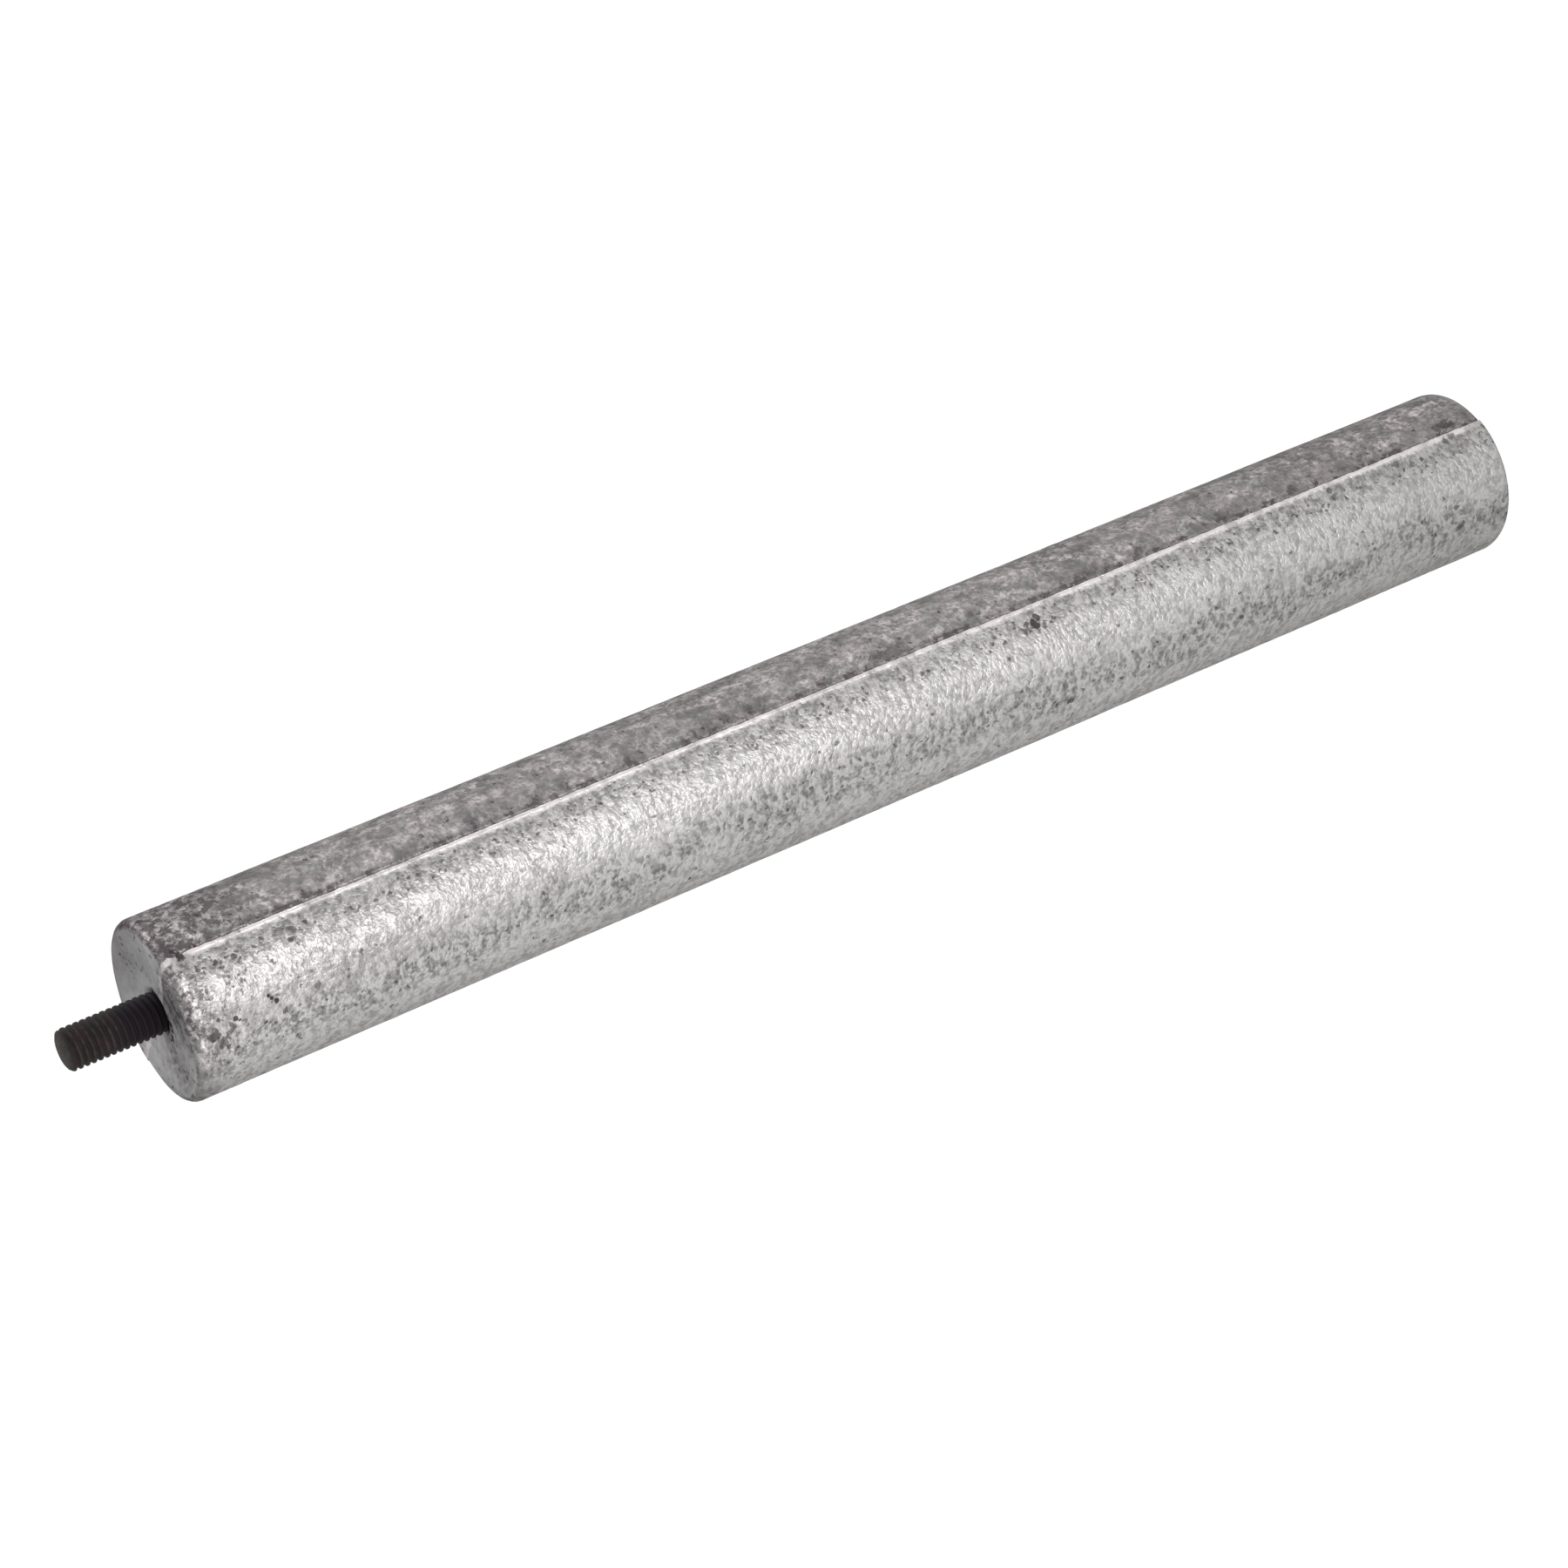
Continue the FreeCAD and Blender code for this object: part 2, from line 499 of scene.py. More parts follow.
# Radius of each point of the profile, and how far through the turn it comes.
turn_profile = (
    (crest - CREST_BREAK, 0.00),
    (crest, 0.08),
    (crest, 0.28),
    (crest - CREST_BREAK, 0.36),
    (root + CREST_BREAK, 0.56),
    (root, 0.62),
    (root, 0.74),
    (root + CREST_BREAK, 0.80),
    (crest - CREST_BREAK, 1.00),
)
bpy.ops.object.select_all(action="DESELECT")
bpy.ops.mesh.primitive_plane_add(size=MM)
thread = bpy.context.object
thread.name = "threaded_steel"
bpy.ops.object.mode_set(mode="EDIT")
bpy.ops.mesh.select_all(action="SELECT")
bpy.ops.mesh.merge(type="CENTER")
at = Vector((0, 0, 0))
for radius, share in turn_profile:
    step = Vector((radius, 0, THREAD_START + share * PITCH)) - at
    if at.length == 0:
        bpy.ops.transform.translate(value=step)
    else:
        bpy.ops.mesh.extrude_region_move(TRANSFORM_OT_translate={"value": step})
    at += step
bpy.ops.object.mode_set(mode="OBJECT")
print("profile points:", len(thread.data.vertices))

# %% The wound thread
TURN_STEPS = 72

bpy.ops.object.modifier_add(type="SCREW")
winding = thread.modifiers[-1]
winding.axis = "Z"
winding.angle = 2 * math.pi
winding.screw_offset = PITCH
winding.iterations = WOUND_TURNS
winding.steps = TURN_STEPS
winding.render_steps = TURN_STEPS
winding.use_merge_vertices = True
winding.merge_threshold = MM / 1000
bpy.ops.object.modifier_apply(modifier=winding.name)
bpy.ops.object.mode_set(mode="EDIT")
bpy.ops.mesh.select_all(action="SELECT")
bpy.ops.mesh.remove_doubles(threshold=MM / 1000)
pick("edges", lambda at, edge: edge.is_boundary)
bpy.ops.mesh.edge_face_add()
bpy.ops.mesh.select_all(action="SELECT")
bpy.ops.mesh.normals_make_consistent(inside=False)
bpy.ops.object.mode_set(mode="OBJECT")
print("thread faces:", len(thread.data.polygons))

# %% [markdown]
# The wound thread is longer than the stud and has ragged ends. It is cut to length and
# chamfered in one go by keeping only what it shares with a plain blank: a stepped cylinder
# drawn ring by ring, as the rod's ends were. Below the metal's surface the blank is no wider
# than the bore, so the stud and the rod don't run into each other.

# %% The stud's blank
STUD_CHAMFER = 0.6 * MM

bpy.ops.object.select_all(action="DESELECT")
bpy.ops.mesh.primitive_cylinder_add(
    vertices=TURN_STEPS, radius=GRIP_RADIUS, depth=mouth_floor - STUD_BOTTOM,
    location=(0, 0, (mouth_floor + STUD_BOTTOM) / 2),
)
blank = bpy.context.object
bpy.ops.object.transform_apply(location=True, rotation=True, scale=True)
bpy.ops.object.mode_set(mode="EDIT")
pick("faces", lambda at, face: face.normal.z > 0.9)
draw_ring(STUD_RADIUS + CREST_BREAK, ROD_TOP)
draw_ring(STUD_RADIUS + CREST_BREAK, STUD_TIP - STUD_CHAMFER)
draw_ring(STUD_RADIUS - STUD_CHAMFER * 0.3, STUD_TIP - STUD_CHAMFER * 0.35)
draw_ring(STUD_RADIUS - STUD_CHAMFER, STUD_TIP)
bpy.ops.object.mode_set(mode="OBJECT")
print("blank height:", round(blank.dimensions.z / MM, 1), "mm")

# %% Cut the thread to the blank
bpy.ops.object.select_all(action="DESELECT")
bpy.context.view_layer.objects.active = thread
thread.select_set(True)
bpy.ops.object.modifier_add(type="BOOLEAN")
cutting = thread.modifiers[-1]
cutting.operation = "INTERSECT"
cutting.solver = "EXACT"
cutting.object = blank
bpy.ops.object.modifier_apply(modifier=cutting.name)
bpy.data.objects.remove(blank)
bpy.ops.object.mode_set(mode="EDIT")
bpy.ops.mesh.select_all(action="SELECT")
bpy.ops.mesh.remove_doubles(threshold=MM / 1000)
bpy.ops.mesh.normals_make_consistent(inside=False)
bpy.ops.object.mode_set(mode="OBJECT")
bpy.ops.object.shade_smooth_by_angle(angle=math.radians(35))
print("stud faces:", len(thread.data.polygons), "tip at", round(thread.bound_box[6][2] / MM, 2), "mm")

# %% [markdown]
# Both materials are drawn from the object's own coordinates, turned into millimetres, so
# that every size below can be read as a real one. A few short helpers keep the node lists
# readable: plain arithmetic, a soft threshold, a cloud of noise and a mix of two colours.

# %% Helpers for materials
def painted(red, green, blue):
    """A colour given by its screen values from 0 to 255, as the shader wants it."""
    shares = [value / 255 for value in (red, green, blue)]
    return tuple(s / 12.92 if s <= 0.04045 else ((s + 0.055) / 1.055) ** 2.4 for s in shares) + (1,)


def calc(tree, operation, first, second=0.0):
    """One step of arithmetic."""
    return add_node(tree, "ShaderNodeMath", {"operation": operation}, _0=first, _1=second).outputs[0]


def soften(tree, value, low, high, start=0.0, end=1.0):
    """Goes softly from start to end while the value goes from low to high."""
    made = add_node(
        tree, "ShaderNodeMapRange", {"interpolation_type": "SMOOTHSTEP"},
        Value=value, From_Min=low, From_Max=high, To_Min=start, To_Max=end,
    )
    return made.outputs[0]


def cloud(tree, place, size, detail=2.0, stretch=(1, 1, 1), roughness=0.5):
    """Noise whose lumps have that size in mm, made longer along each axis by its stretch."""
    scale = [1 / (size * factor) for factor in stretch]
    sized = add_node(tree, "ShaderNodeMapping", None, Vector=place, Scale=scale)
    return add_node(
        tree, "ShaderNodeTexNoise", None,
        Vector=sized.outputs[0], Scale=1.0, Detail=detail, Roughness=roughness,
    )


def mixed(tree, share, first, second):
    """Two colours mixed by a share."""
    return add_node(tree, "ShaderNodeMix", {"data_type": "RGBA"}, _0=share, _6=first, _7=second).outputs[2]


def calc_vector(tree, operation, **inputs):
    """One step of vector arithmetic."""
    return add_node(tree, "ShaderNodeVectorMath", {"operation": operation}, **inputs).outputs


def place_in_mm(tree):
    """The object's own coordinates in millimetres."""
    coords = add_node(tree, "ShaderNodeTexCoord").outputs["Object"]
    return calc_vector(tree, "SCALE", _0=coords, Scale=1 / MM)[0]


def split(tree, place):
    """The X, Y and Z of a place, and its distance from the rod's axis."""
    axes = add_node(tree, "ShaderNodeSeparateXYZ", None, Vector=place).outputs
    flat = add_node(tree, "ShaderNodeCombineXYZ", None, X=axes["X"], Y=axes["Y"]).outputs[0]
    return axes["X"], axes["Y"], axes["Z"], calc_vector(tree, "LENGTH", _0=flat)["Value"]


def new_group(name, inputs, outputs):
    """An empty node group with the sockets that are named, and its two end nodes."""
    group = bpy.data.node_groups.new(name, "ShaderNodeTree")
    for label, kind in inputs.items():
        group.interface.new_socket(name=label, in_out="INPUT", socket_type=kind)
    for label, kind in outputs.items():
        group.interface.new_socket(name=label, in_out="OUTPUT", socket_type=kind)
    start = group.nodes.new("NodeGroupInput")
    end = group.nodes.new("NodeGroupOutput")
    return group, start.outputs, end.inputs


def use_group(tree, group, **inputs):
    """Places a node group and fills its inputs."""
    return add_node(tree, "ShaderNodeGroup", {"node_tree": group}, **inputs).outputs


# %% [markdown]
# Three effects are node groups, because more than one finish or place needs them. Grain is
# the sandy skin that both metals have. Blotches are the cloudy stains that lie on both. A
# spot is one ragged mark at a known place, used for each pit that can be made out and for
# each patch of painted shadow beside the stud.

# %% The shared effects
SCALAR = "NodeSocketFloat"
VECTOR = "NodeSocketVector"

grain, given, result = new_group("grain", {"Place": VECTOR, "Size": SCALAR}, {"Height": SCALAR})
closer = calc_vector(grain, "DIVIDE", _0=given["Place"], _1=given["Size"])[0]
sand = add_node(grain, "ShaderNodeTexNoise", None, Vector=closer, Scale=1.0, Detail=3.0)
grain.links.new(sand.outputs["Fac"], result["Height"])

blotches, given, result = new_group(
    "blotches", {"Place": VECTOR, "Size": SCALAR, "Cover": SCALAR}, {"Mask": SCALAR}
)
closer = calc_vector(blotches, "DIVIDE", _0=given["Place"], _1=given["Size"])[0]
stain = add_node(blotches, "ShaderNodeTexNoise", None, Vector=closer, Scale=1.0, Detail=4.0, Roughness=0.6)
shore = calc(blotches, "SUBTRACT", 0.72, calc(blotches, "MULTIPLY", given["Cover"], 0.44))
sunk = calc(blotches, "SUBTRACT", stain.outputs["Fac"], shore)
blotches.links.new(soften(blotches, sunk, -0.08, 0.08), result["Mask"])

spot, given, result = new_group(
    "spot",
    {"Place": VECTOR, "Centre": VECTOR, "Radius": SCALAR, "Depth": SCALAR, "Fray": SCALAR},
    {"Mask": SCALAR},
)
away = calc_vector(spot, "DISTANCE", _0=given["Place"], _1=given["Centre"])["Value"]
share = calc(spot, "DIVIDE", away, given["Radius"])
ragged = calc(spot, "ADD", share, given["Fray"])
spot.links.new(calc(spot, "MULTIPLY", soften(spot, ragged, 1.0, 0.6), given["Depth"]), result["Mask"])
print("groups:", [group.name for group in bpy.data.node_groups])

# %% [markdown]
# Cast magnesium. As the metal touched the coated mould it froze in a skin of small folds:
# pale lumps, a little longer round the rod than along it, with darker creases between them.
# It could be one noise, but the folds of the real skin come in two sizes and swirl. So two
# noises are added up, each cut off softly at both ends to give flat lumps and narrow creases,
# and the place at which they are read is itself pushed about by a third, larger noise.

# %% Cast magnesium's sizes in mm
FOLD_SIZE = 0.9
FINE_FOLD_SIZE = 0.45
RIPPLE_STEP = 1.5
FACE_RING_STEP = 1.2
SWIRL_SIZE = 6.0
SWIRL_PUSH = 1.6
FRAY_SIZE = 0.5
FRAY_PUSH = 0.9
WAVE_SIZE = 8.0
FOLD_DEPTH = 0.065
GRAIN_SIZE = 0.3
SPECKLE_STEP = 0.7

# %% Cast magnesium's colours
PALE_METAL = painted(182, 180, 179)
# Duller metal, darker than the pale half partly as painted shade.
DULL_AND_SHADED_METAL = painted(172, 168, 168)
GREEN_METAL = painted(164, 164, 161)
# Dark stains, also used for painted shade.
STAIN_AND_SHADE = painted(84, 78, 80)
ROSY_STAIN = painted(212, 204, 205)
# Dirt and painted shade in the creases.
CREASE_DIRT_AND_SHADE = painted(98, 96, 96)
# Dark pits, and painted shadow in the bite and the mouth round the stud.
PIT_AND_SHADOW = painted(56, 49, 51)
# Pale metal for rubbed places, painted highlight and the face's rings.
BRIGHT_METAL_AND_GLINT = painted(214, 208, 208)
# Paler than the side, as painted light on the face.
PAINTED_LIGHT_FACE_METAL = painted(188, 187, 187)

# %% [markdown]
# Some pits and knocks can be made out one by one, and give this rod away among others. They
# are listed by place, together with painted shadow in the bite and in the mouth round the stud,
# and each becomes one ragged spot.

# %% Pits, knocks and painted shadow
# Angle from +X towards +Y in degrees, height in mm, radius in mm and darkness of each mark.
MARKS = (
    # The first marks, round the bite beside the stud's end, are painted shadow of the bite rather than
    # pits.
    (-1.3, 187.8, 0.75, 0.95),
    (3.5, 188.2, 0.6, 0.9),
    (7.1, 187.8, 0.5, 0.7),
    (1.2, 186.3, 0.4, 0.8),
    (0.8, 185.4, 0.35, 0.8),
    (0.6, 184.4, 0.3, 0.7),
    (10.4, 184.5, 0.35, 0.7),
    (6.7, 181.2, 0.35, 0.7),
    (8.4, 180.6, 0.3, 0.7),
    (10.2, 180.1, 0.3, 0.6),
    (3.5, 178.8, 0.25, 0.6),
    (-42.5, 180.4, 0.24, 1.0),
    (-44.7, 180.1, 0.26, 1.0),
    (-47, 179.7, 0.36, 1.0),
    (-47.6, 184.7, 0.3, 0.9),
    (-49.4, 184.2, 0.3, 0.9),
    (-44, 186.7, 0.4, 0.8),
    (-52.5, 187.4, 0.9, 0.8),
    (-54, 185.6, 0.9, 0.7),
    (-58, 186.6, 0.8, 0.7),
    (-13.3, 184.5, 0.5, 0.85),
    (-17, 184.2, 0.3, 0.6),
    (-14, 182.3, 0.42, 0.8),
    (-11.6, 176.4, 0.9, 0.45),
    (-13, 175.4, 0.7, 0.5),
    (-17.7, 175.7, 0.4, 0.8),
    (-48.4, 174.6, 0.5, 0.6),
    (-57, 181.4, 0.3, 0.8),
    (-60, 180.4, 0.3, 0.7),
    (-55, 179.0, 0.42, 0.7),
    (-63, 178.0, 0.7, 0.5),
    (-66, 177.0, 0.5, 0.45),
    (-76, 177.9, 0.4, 0.5),
    (-13, 73.7, 0.8, 0.9),
    (-15.5, 75.2, 0.7, 0.7),
    (-10, 73.0, 0.6, 0.8),
    (-17, 72.6, 0.5, 0.7),
    (-72, 71.4, 0.55, 0.8),
    (-58, 72.4, 0.4, 0.5),
    (-50, 9.0, 0.6, 0.6),
    (-66, 8.8, 0.6, 0.5),
    (-6, 26.4, 0.6, 0.6),
    (-12, 26.2, 0.5, 0.5),
    (-7, 15.4, 0.7, 0.5),
    (-4, 6.9, 0.7, 0.6),
    (-4, 5.7, 0.7, 0.5),
    (8.5, 6.6, 0.8, 0.6),
    (8, 5.2, 1.0, 0.65),
    (7, 3.8, 0.7, 0.6),
)

# Painted shadow in the mouth round the stud, listed the same way, with the distance from the axis in place
# of the height.
MOUTH_SHADOW_MARKS = (
    (-72, 3.7, 0.6, 1.0),
    (-88, 3.6, 0.6, 1.0),
    (-58, 3.5, 0.5, 0.9),
    (-104, 3.4, 0.5, 0.9),
    (30, 2.9, 0.4, 0.7),
)

# %% [markdown]
# The rest of the skin is built from masks. A mask has a value from nothing to one at each
# place, which says how much of something is there. Multiplied masks narrow each other, and
# the largest of several covers wherever one of them does.

# %% Helpers for the skin
def product(tree, *values):
    """All the values multiplied."""
    result = values[0]
    for value in values[1:]:
        result = calc(tree, "MULTIPLY", result, value)
    return result


def total(tree, *values):
    """All the values added up."""
    result = values[0]
    for value in values[1:]:
        result = calc(tree, "ADD", result, value)
    return result


def largest(tree, *values):
    """The largest of the values."""
    result = values[0]
    for value in values[1:]:
        result = calc(tree, "MAXIMUM", result, value)
    return result


def between(tree, mask, start, end):
    """A share that is start where the mask is nothing, and end where it is full."""
    return soften(tree, mask, 0.0, 1.0, start, end)


def stretch_of(tree, value, first, second):
    """A mask that is full between two soft edges, each given from its empty end to its full one."""
    return product(tree, soften(tree, value, *first), soften(tree, value, *second))


def uneven(tree, place, size, reach, detail=2.0, middle=0.5):
    """Noise that goes up and down about nothing, up to about half of reach each way."""
    fac = cloud(tree, place, size, detail).outputs["Fac"]
    return product(tree, calc(tree, "SUBTRACT", fac, middle), reach)


# %% Folds, pushed places and pits
FOLD_LOW = 0.38
FOLD_HIGH = 0.58


def folded(tree, place, size, reach):
    """Pale lumps with ragged creases between them, longer round the rod by that reach."""
    fac = cloud(tree, place, size, 1.6, (reach, reach, 1), 0.55).outputs["Fac"]
    return soften(tree, fac, FOLD_LOW, FOLD_HIGH)


def pushed(tree, place, size, push):
    """The place, pushed about by noise of that size, up to half of push each way."""
    drift = cloud(tree, place, size, 1.0).outputs["Color"]
    centred = calc_vector(tree, "SUBTRACT", _0=drift, _1=(0.5, 0.5, 0.5))[0]
    scaled = calc_vector(tree, "SCALE", _0=centred, Scale=push)[0]
    return calc_vector(tree, "ADD", _0=place, _1=scaled)[0]


def pitted(tree, place, spacing, share):
    """Small round pits, spacing mm apart, in the share of the places that is asked for."""
    cells = add_node(tree, "ShaderNodeTexVoronoi", None, Vector=place, Scale=1 / spacing).outputs
    chance = add_node(tree, "ShaderNodeSeparateXYZ", None, Vector=cells["Color"]).outputs["X"]
    return product(tree, soften(tree, cells["Distance"], 0.5, 0.2), calc(tree, "LESS_THAN", chance, share))


# %% [markdown]
# The stains follow the casting: they lie along the parting line, round the rim and in a band
# under the highlight, and one half of the mould left its metal duller than the other. Painted
# shade lies there too: in the crease of the seam's step, on the rim's rounding, over the band
# under the highlight and over the duller half. So each region gets a mask from the place in
# millimetres, with soft or frayed edges.
# region gets a mask from the place in millimetres, with soft or frayed edges.

# %% Where things are beside the parting line
def seam_zones(tree, x, frayed_y):
    """Masks beside both parting lines. The proud edge has the distances below nothing."""
    from_seam = calc(tree, "MULTIPLY", frayed_y, calc(tree, "SIGN", x))
    return {
        "flash": stretch_of(tree, from_seam, (-1.1, -0.6), (0.02, -0.08)),
        # The crease above the step is darkened in colour as painted shade.
        "shaded_crease": stretch_of(tree, from_seam, (-0.04, 0.06), (1.5, 0.6)),
        "above_seam": stretch_of(tree, from_seam, (0.0, 0.1), (5.5, 0.8)),
        "below_seam": stretch_of(tree, from_seam, (-0.4, -0.6), (-4.2, -2.2)),
    }


# %% Where things are at the stud's end
def stud_end_zones(tree, place, frayed_z):
    """Masks for the face, the rounded crown, the rim with its stains and painted shade, and the grime
    beside them.
    """
    x, y, z, reach = split(tree, place)
    top = ROD_TOP / MM
    face = product(tree, soften(tree, reach, 10.4, 9.7), soften(tree, z, top - 1.5, top - 1.2))
    beside_face = calc(tree, "SUBTRACT", 1.0, face)
    from_top = calc(tree, "ADD", calc(tree, "SUBTRACT", top, z), uneven(tree, place, 2.6, 5.0))
    lower_side = product(tree, soften(tree, y, -10.0, -8.0), soften(tree, y, -1.0, -4.0, 0.3, 1.0))
    return {
        "face": face,
        "crown": product(tree, soften(tree, frayed_z, top - 2.0, top - 1.5), beside_face),
        "rim": product(tree, soften(tree, from_top, 4.2, 2.4), beside_face),
        "above_rim": soften(tree, y, -10.5, -7.0, 0.6, 1.0),
        "stud_side": product(tree, soften(tree, x, 2.6, 4.6), soften(tree, y, 1.0, -1.0)),
        "stud_end": soften(tree, z, top - 22, top - 4),
        "grimy": product(tree, soften(tree, z, top - 55, top - 25), lower_side),
    }


# %% Where things are along the rod
# Heights in mm round which the metal beside the seam is stained, and how far that reaches.
STAINED_HEIGHTS = (5, 24, 64, 116)
STAINED_REACH = 7
STAINED_CORE = 2

# Angle of the band under the highlight, whose creases hold the most dirt and which is painted darker as
# painted shade
UNDER_ANGLE = math.radians(-62)
ACROSS_UNDER = (-math.sin(UNDER_ANGLE), math.cos(UNDER_ANGLE), 0)

# Size and reach of the slow wander that keeps a zone's edge from being straight
DRIFT_SIZE = 11
DRIFT_REACH = 9.0


def rod_zones(tree, place, frayed):
    """Masks for all the rod's regions, by name, from the place in mm and its frayed copy."""
    x, y, z, reach = split(tree, place)
    frayed_y, frayed_z = split(tree, frayed)[1:3]
    drift = uneven(tree, place, DRIFT_SIZE, DRIFT_REACH)
    slant = calc_vector(tree, "DOT_PRODUCT", _0=place, _1=ACROSS_UNDER)["Value"]
    from_under = calc(tree, "ABSOLUTE", calc(tree, "ADD", slant, drift))
    stretches = []
    for height in STAINED_HEIGHTS:
        away = calc(tree, "ABSOLUTE", calc(tree, "SUBTRACT", z, height))
        stretches.append(soften(tree, away, STAINED_REACH, STAINED_CORE))
    return {
        "reach": reach,
        "across": y,
        "rough_half": soften(tree, y, 0.12, -0.12),
        "shaded_band": soften(tree, from_under, 3.4, 1.0),
        "stained": largest(tree, *stretches),
        "rippled": product(tree, stretch_of(tree, z, (55, 75), (145, 125)), soften(tree, drift, -1.0, 1.0)),
        "darker_to_plain_end": soften(tree, calc(tree, "ADD", z, drift), 70, 5, 0.0, 0.6),
        "foot_end": soften(tree, z, 45, 15, 0.0, 0.35),
        **seam_zones(tree, x, frayed_y),
        **stud_end_zones(tree, place, frayed_z),
    }


# %% The patterns that lie all over the rod
def rod_patterns(tree, place, turned, frayed):
    """Masks of the folds and of the stains, by name."""
    folds = product(tree, folded(tree, turned, FOLD_SIZE, 1.3), 0.6)
    fine_folds = product(tree, folded(tree, turned, FINE_FOLD_SIZE, 1.0), 0.4)
    clouds = cloud(tree, turned, 3.2, 3.0, (1, 1, 2.4)).outputs["Fac"]
    return {
        "folds": total(tree, folds, fine_folds),
        "patches": use_group(tree, blotches, Place=place, Size=3.6, Cover=0.45)["Mask"],
        "mottles": use_group(tree, blotches, Place=frayed, Size=1.3, Cover=0.45)["Mask"],
        "specks": use_group(tree, blotches, Place=frayed, Size=0.9, Cover=0.42)["Mask"],
        "rosy": use_group(tree, blotches, Place=turned, Size=2.6, Cover=0.5)["Mask"],
        "green": use_group(tree, blotches, Place=place, Size=8.0, Cover=0.5)["Mask"],
        "clouds": soften(tree, clouds, 0.5, 0.62),
    }


# %% [markdown]
# The half of the rod above the parting line came from the other half of the mould. It is
# duller, and also painted darker as painted shade, with greenish and rosy patches under dark
# stains, which crowd at both ends and beside the seam, and painted shade in the crease above
# the step. The largest of several masks is used, so that stains never add up to black.

# %% The dull and shaded half's colour
def dull_and_shaded_half_colour(tree, zone, pattern):
    """Dull metal, painted darker in part as painted shade, with green and rosy patches under dark stains.
    """
    mottles, patches = pattern["mottles"], pattern["patches"]
    ends = largest(tree, zone["stud_end"], zone["foot_end"], product(tree, zone["stained"], 0.4))
    busy = between(tree, ends, 0.6, 0.95)
    beside_seam = largest(tree, product(tree, zone["stained"], 0.9), patches)
    stained = largest(
        tree,
        product(tree, mottles, busy),
        product(tree, pattern["specks"], busy, 0.9),
        product(tree, patches, 0.3),
        product(tree, pattern["clouds"], busy, 0.8),
        product(tree, zone["above_seam"], beside_seam, between(tree, mottles, 0.7, 1.0)),
        # Painted shade in the crease above the seam's step.
        product(tree, zone["shaded_crease"], between(tree, mottles, 0.6, 1.0)),
    )
    colour = mixed(tree, pattern["green"], DULL_AND_SHADED_METAL, GREEN_METAL)
    colour = mixed(tree, product(tree, pattern["rosy"], 0.95), colour, ROSY_STAIN)
    return mixed(tree, stained, colour, STAIN_AND_SHADE)


# %% The colour of the face round the stud
def face_colour(tree, zone, pattern):
    """Smooth metal, painted paler than the side as painted light, darker towards one side as painted shade,
    with faint rings on the other.
    """
    y, patches = zone["across"], pattern["patches"]
    rings = calc(tree, "SINE", calc(tree, "MULTIPLY", zone["reach"], math.tau / FACE_RING_STEP))
    rings = product(tree, soften(tree, rings, 0.0, 1.0), soften(tree, y, -2.0, -5.0), patches, 0.5)
    colour = mixed(tree, product(tree, patches, 0.2), PAINTED_LIGHT_FACE_METAL, STAIN_AND_SHADE)
    # Painted shade: the face is darker towards +Y.
    colour = mixed(tree, soften(tree, y, 1.0, 9.0, 0.0, 0.4), colour, STAIN_AND_SHADE)
    return mixed(tree, rings, colour, BRIGHT_METAL_AND_GLINT)


# %% Metal's colour before any dirt
def clean_colour(tree, zone, pattern):
    """Both halves of the rod and the face, with the stain that runs from the stud to the rim."""
    # Darker and greener towards the plain end.
    pale = mixed(tree, zone["darker_to_plain_end"], PALE_METAL, GREEN_METAL)
    colour = mixed(tree, zone["rough_half"], dull_and_shaded_half_colour(tree, zone, pattern), pale)
    colour = mixed(tree, zone["face"], colour, face_colour(tree, zone, pattern))
    stain = product(tree, zone["face"], zone["stud_side"], between(tree, pattern["mottles"], 0.4, 0.85))
    return mixed(tree, stain, colour, STAIN_AND_SHADE)


# %% [markdown]
# Dirt and painted shade darken the creases, most of all in the band under the highlight and
# beside the seam, and that band is also painted darker as a whole, as painted shade. Grime,
# stains and painted shade lie over it near the stud, and last come the pale marks, partly metal
# that handling has rubbed bright and partly painted highlight: the crown beside the stud and the
# crest of the flash.

# %% Dirt and painted shade in the creases
def crease_dirt_and_shade(tree, zone, pattern):
    """How much of the darker colour, dirt and painted shade in the creases, shows at each place."""
    shaded_crease = calc(tree, "SUBTRACT", 1.0, pattern["folds"])
    dirt = total(
        tree,
        product(tree, shaded_crease, between(tree, zone["rough_half"], 0.6, 0.55)),
        product(tree, shaded_crease, zone["shaded_band"], zone["rough_half"], 0.22),
        # Painted shade: the band under the highlight is darker as a whole.
        product(tree, zone["shaded_band"], zone["rough_half"], 0.14),
        product(tree, shaded_crease, zone["below_seam"], 0.2),
    )
    return product(tree, dirt, between(tree, zone["face"], 1.0, 0.3))


def dark_speckles(tree, frayed, zone, pattern):
    """Small dark pits, most of them beside the seam and near the stud."""
    share = largest(
        tree,
        product(tree, zone["below_seam"], 0.42),
        product(tree, zone["stud_end"], pattern["patches"], 0.4),
        product(tree, zone["shaded_band"], 0.12),
        0.03,
    )
    return pitted(tree, frayed, SPECKLE_STEP, share)


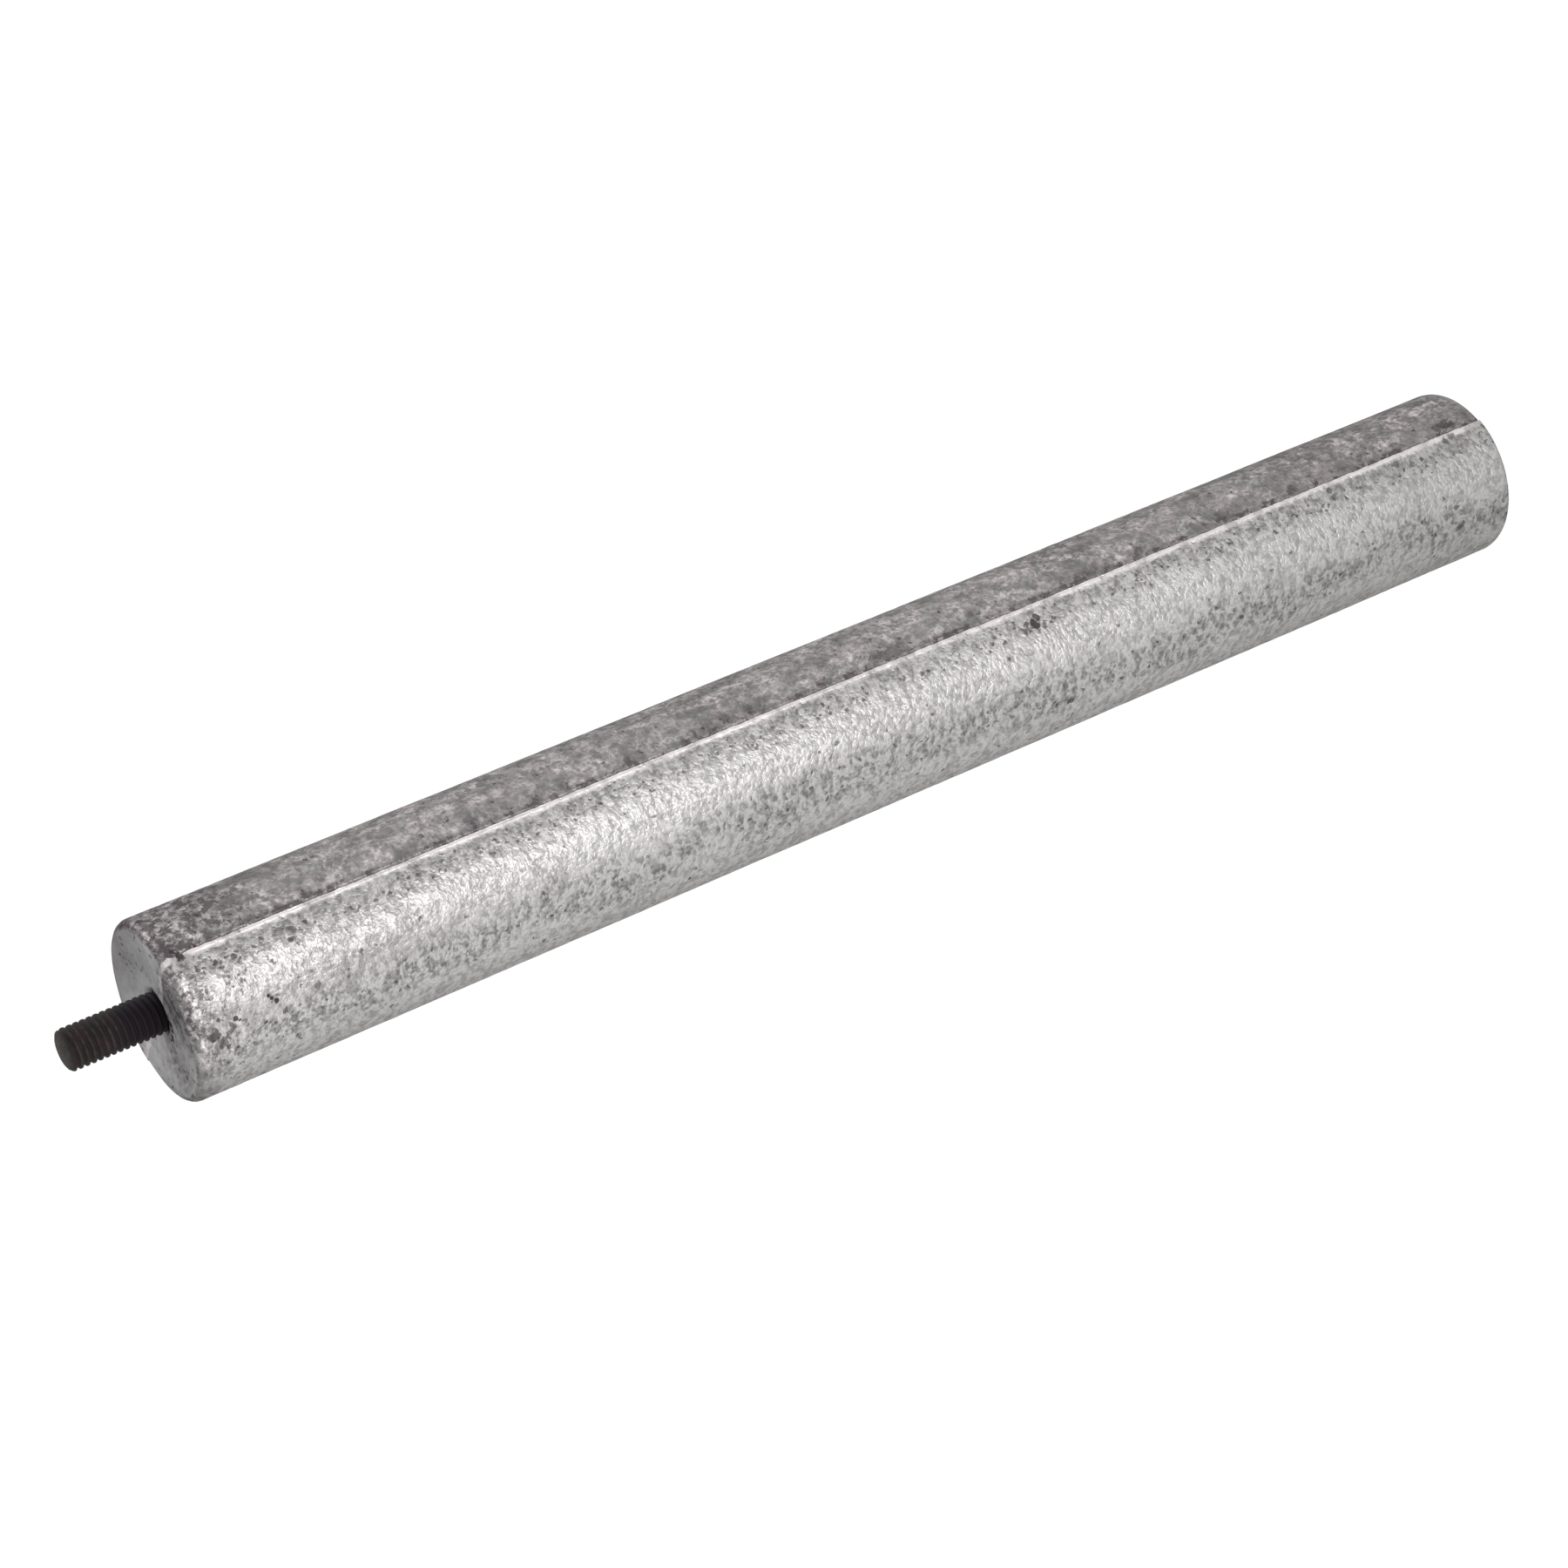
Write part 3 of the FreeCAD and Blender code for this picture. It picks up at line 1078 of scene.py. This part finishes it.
# %% Stains, grime, rubbed metal, painted shade and painted highlight
def worn_and_painted_light_colour(tree, colour, zone, pattern, speckles):
    """The colour with all that lies over it, from the lowest layer to the highest."""
    mottles = pattern["mottles"]
    # Stains on the crown and rim, with painted shade there that stands for a wider rounded edge.
    rim_stain_and_shade = largest(
        tree,
        product(tree, zone["crown"], between(tree, mottles, 0.55, 0.9)),
        product(tree, zone["rim"], between(tree, pattern["specks"], 0.2, 0.75)),
    )
    layers = (
        (product(tree, zone["below_seam"], mottles, 0.18), STAIN_AND_SHADE),
        (product(tree, speckles, 0.7), PIT_AND_SHADOW),
        (product(tree, zone["grimy"], zone["rough_half"], between(tree, mottles, 0.1, 0.35)), STAIN_AND_SHADE),
        (product(tree, rim_stain_and_shade, zone["above_rim"]), STAIN_AND_SHADE),
        # Rubbed metal and painted highlight: bright specks on the crown and along the flash's crest.
        (product(tree, zone["crown"], zone["stud_side"], pattern["specks"], 0.6), BRIGHT_METAL_AND_GLINT),
        (product(tree, zone["flash"], between(tree, pattern["patches"], 0.85, 0.3)), BRIGHT_METAL_AND_GLINT),
    )
    for share, over in layers:
        colour = mixed(tree, share, colour, over)
    return colour


# %% The marks that are listed
def listed_marks(tree, place):
    """One mask for the pits and knocks that are listed and for the painted shadow by the stud, with a
    common ragged edge.
    """
    fray = uneven(tree, place, 1.0, 3.0, 3.0, 0.48)
    spots = [(on_side(degrees, height), *rest) for degrees, height, *rest in MARKS]
    spots += [(on_face(degrees, reach), *rest) for degrees, reach, *rest in MOUTH_SHADOW_MARKS]
    masks = [
        use_group(tree, spot, Place=place, Centre=centre / MM, Radius=radius, Depth=dark, Fray=fray)["Mask"]
        for centre, radius, dark in spots
    ]
    return largest(tree, *masks)


# %% The skin's relief
SAND_SHARE = 0.08
WAVE_SHARE = 5.0
RIPPLE_SHARE = 0.9
PIT_SHARE = 0.8


def skin_height(tree, place, zone, pattern, pits):
    """The height of the skin, where one stands for the depth of a fold."""
    relief = product(
        tree,
        between(tree, zone["rough_half"], 0.7, 1.0),
        between(tree, zone["face"], 1.0, 0.25),
        between(tree, zone["flash"], 1.0, 0.3),
    )
    sand = use_group(tree, grain, Place=place, Size=GRAIN_SIZE)["Height"]
    waves = cloud(tree, place, WAVE_SIZE, 1.0).outputs["Fac"]
    ripples = add_node(
        tree, "ShaderNodeTexWave", {"bands_direction": "Z"},
        Vector=place, Scale=math.pi / 10 / RIPPLE_STEP, Distortion=3.5, Detail=0.0,
    ).outputs["Fac"]
    height = total(
        tree,
        product(tree, pattern["folds"], relief),
        product(tree, sand, SAND_SHARE),
        product(tree, waves, WAVE_SHARE),
        product(tree, ripples, zone["rippled"], RIPPLE_SHARE),
    )
    return calc(tree, "SUBTRACT", height, product(tree, pits, PIT_SHARE))


# %% Cast magnesium
METAL_SHARE = 0.5
METAL_ROUGHNESS = 0.43
METAL_TINT = (0.3, 0.3, 0.3, 1)


def make_magnesium():
    """The casting's material."""
    material = bpy.data.materials.new("cast_magnesium")
    tree = fresh_tree(material)
    place = place_in_mm(tree)
    turned = pushed(tree, place, SWIRL_SIZE, SWIRL_PUSH)
    frayed = pushed(tree, place, FRAY_SIZE, FRAY_PUSH)
    zone = rod_zones(tree, place, frayed)
    pattern = rod_patterns(tree, place, turned, frayed)

    colour = clean_colour(tree, zone, pattern)
    # Dirt and painted shade in the creases.
    colour = mixed(tree, crease_dirt_and_shade(tree, zone, pattern), colour, CREASE_DIRT_AND_SHADE)
    speckles = dark_speckles(tree, frayed, zone, pattern)
    colour = worn_and_painted_light_colour(tree, colour, zone, pattern, speckles)
    # Listed pits, and painted shadow by the stud.
    marks_and_shadow = listed_marks(tree, place)
    colour = mixed(tree, marks_and_shadow, colour, PIT_AND_SHADOW)

    height = skin_height(tree, place, zone, pattern, largest(tree, marks_and_shadow, speckles))
    bump = add_node(tree, "ShaderNodeBump", None, Height=height, Distance=FOLD_DEPTH * MM)
    shader = add_node(
        tree, "ShaderNodeBsdfPrincipled", None,
        Base_Color=colour, Metallic=METAL_SHARE, Roughness=METAL_ROUGHNESS, Normal=bump.outputs[0],
        Specular_IOR_Level=0.0, Specular_Tint=METAL_TINT,
    )
    add_node(tree, "ShaderNodeOutputMaterial", Surface=shader.outputs[0])
    return material


rod.data.materials.append(make_magnesium())
print("materials:", [m.name for m in rod.data.materials])

# %% [markdown]
# The stud's steel is blackened. Black oxide is matt and thin: where a thread's crest was
# handled it has worn to a dark grey, and here and there it has turned a little brown. It is
# drawn like the magnesium, from the place in millimetres, and shares its grain and blotches.

# %% Black oxide
OXIDE = painted(32, 28, 29)
# The stud's colour towards its root, darker there.
DARKER_AT_ROOT = painted(22, 17, 22)
WORN_OXIDE = painted(50, 46, 44)
BROWN_OXIDE = painted(44, 33, 33)
TIP_OXIDE = painted(66, 61, 57)
OXIDE_GRAIN = 0.14
OXIDE_DEPTH = 0.02


def make_black_oxide():
    """The stud's material."""
    material = bpy.data.materials.new("blackened_steel")
    tree = fresh_tree(material)
    place = place_in_mm(tree)
    z, radius = split(tree, place)[2:]
    tip = STUD_TIP / MM
    on_crest = soften(tree, radius, 2.36, 2.5)
    at_tip = soften(tree, z, tip - 0.3, tip - 0.05)
    near_root = soften(tree, z, tip - 5.0, tip - 8.0)
    sand = use_group(tree, grain, Place=place, Size=OXIDE_GRAIN)["Height"]
    scuffs = use_group(tree, blotches, Place=place, Size=0.8, Cover=0.5)["Mask"]
    brown = use_group(tree, blotches, Place=place, Size=2.0, Cover=0.35)["Mask"]
    worn = product(tree, on_crest, scuffs, between(tree, near_root, 0.7, 0.0))
    base = mixed(tree, brown, OXIDE, BROWN_OXIDE)
    # Darker towards the root.
    base = mixed(tree, near_root, base, DARKER_AT_ROOT)
    base = mixed(tree, worn, base, WORN_OXIDE)
    base = mixed(tree, product(tree, at_tip, between(tree, scuffs, 0.5, 0.9)), base, TIP_OXIDE)
    bump = add_node(tree, "ShaderNodeBump", None, Height=sand, Distance=OXIDE_DEPTH * MM)
    shader = add_node(
        tree, "ShaderNodeBsdfPrincipled", None,
        Base_Color=base, Metallic=0.0, Roughness=0.7, Normal=bump.outputs[0], Specular_IOR_Level=0.12,
    )
    add_node(tree, "ShaderNodeOutputMaterial", Surface=shader.outputs[0])
    return material


thread.data.materials.append(make_black_oxide())
print("materials:", [m.name for m in thread.data.materials])

# %% [markdown]
# Each finished piece stands for its solid of the construction, whose own mesh is hidden,
# and rides on the part's one body. Its material bears the name of its slot.

# %% Tie the pieces to the construction
for piece, node, slot in (
    (rod, "anode_rod", "cast_magnesium"),
    (thread, "threaded_stud", "blackened_steel"),
):
    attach(piece, "root")
    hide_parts(node)
    print(piece.name, "stands for", node, "in", slot)

# %% Settings and the end
bpy.context.scene.view_settings.view_transform = "Standard"
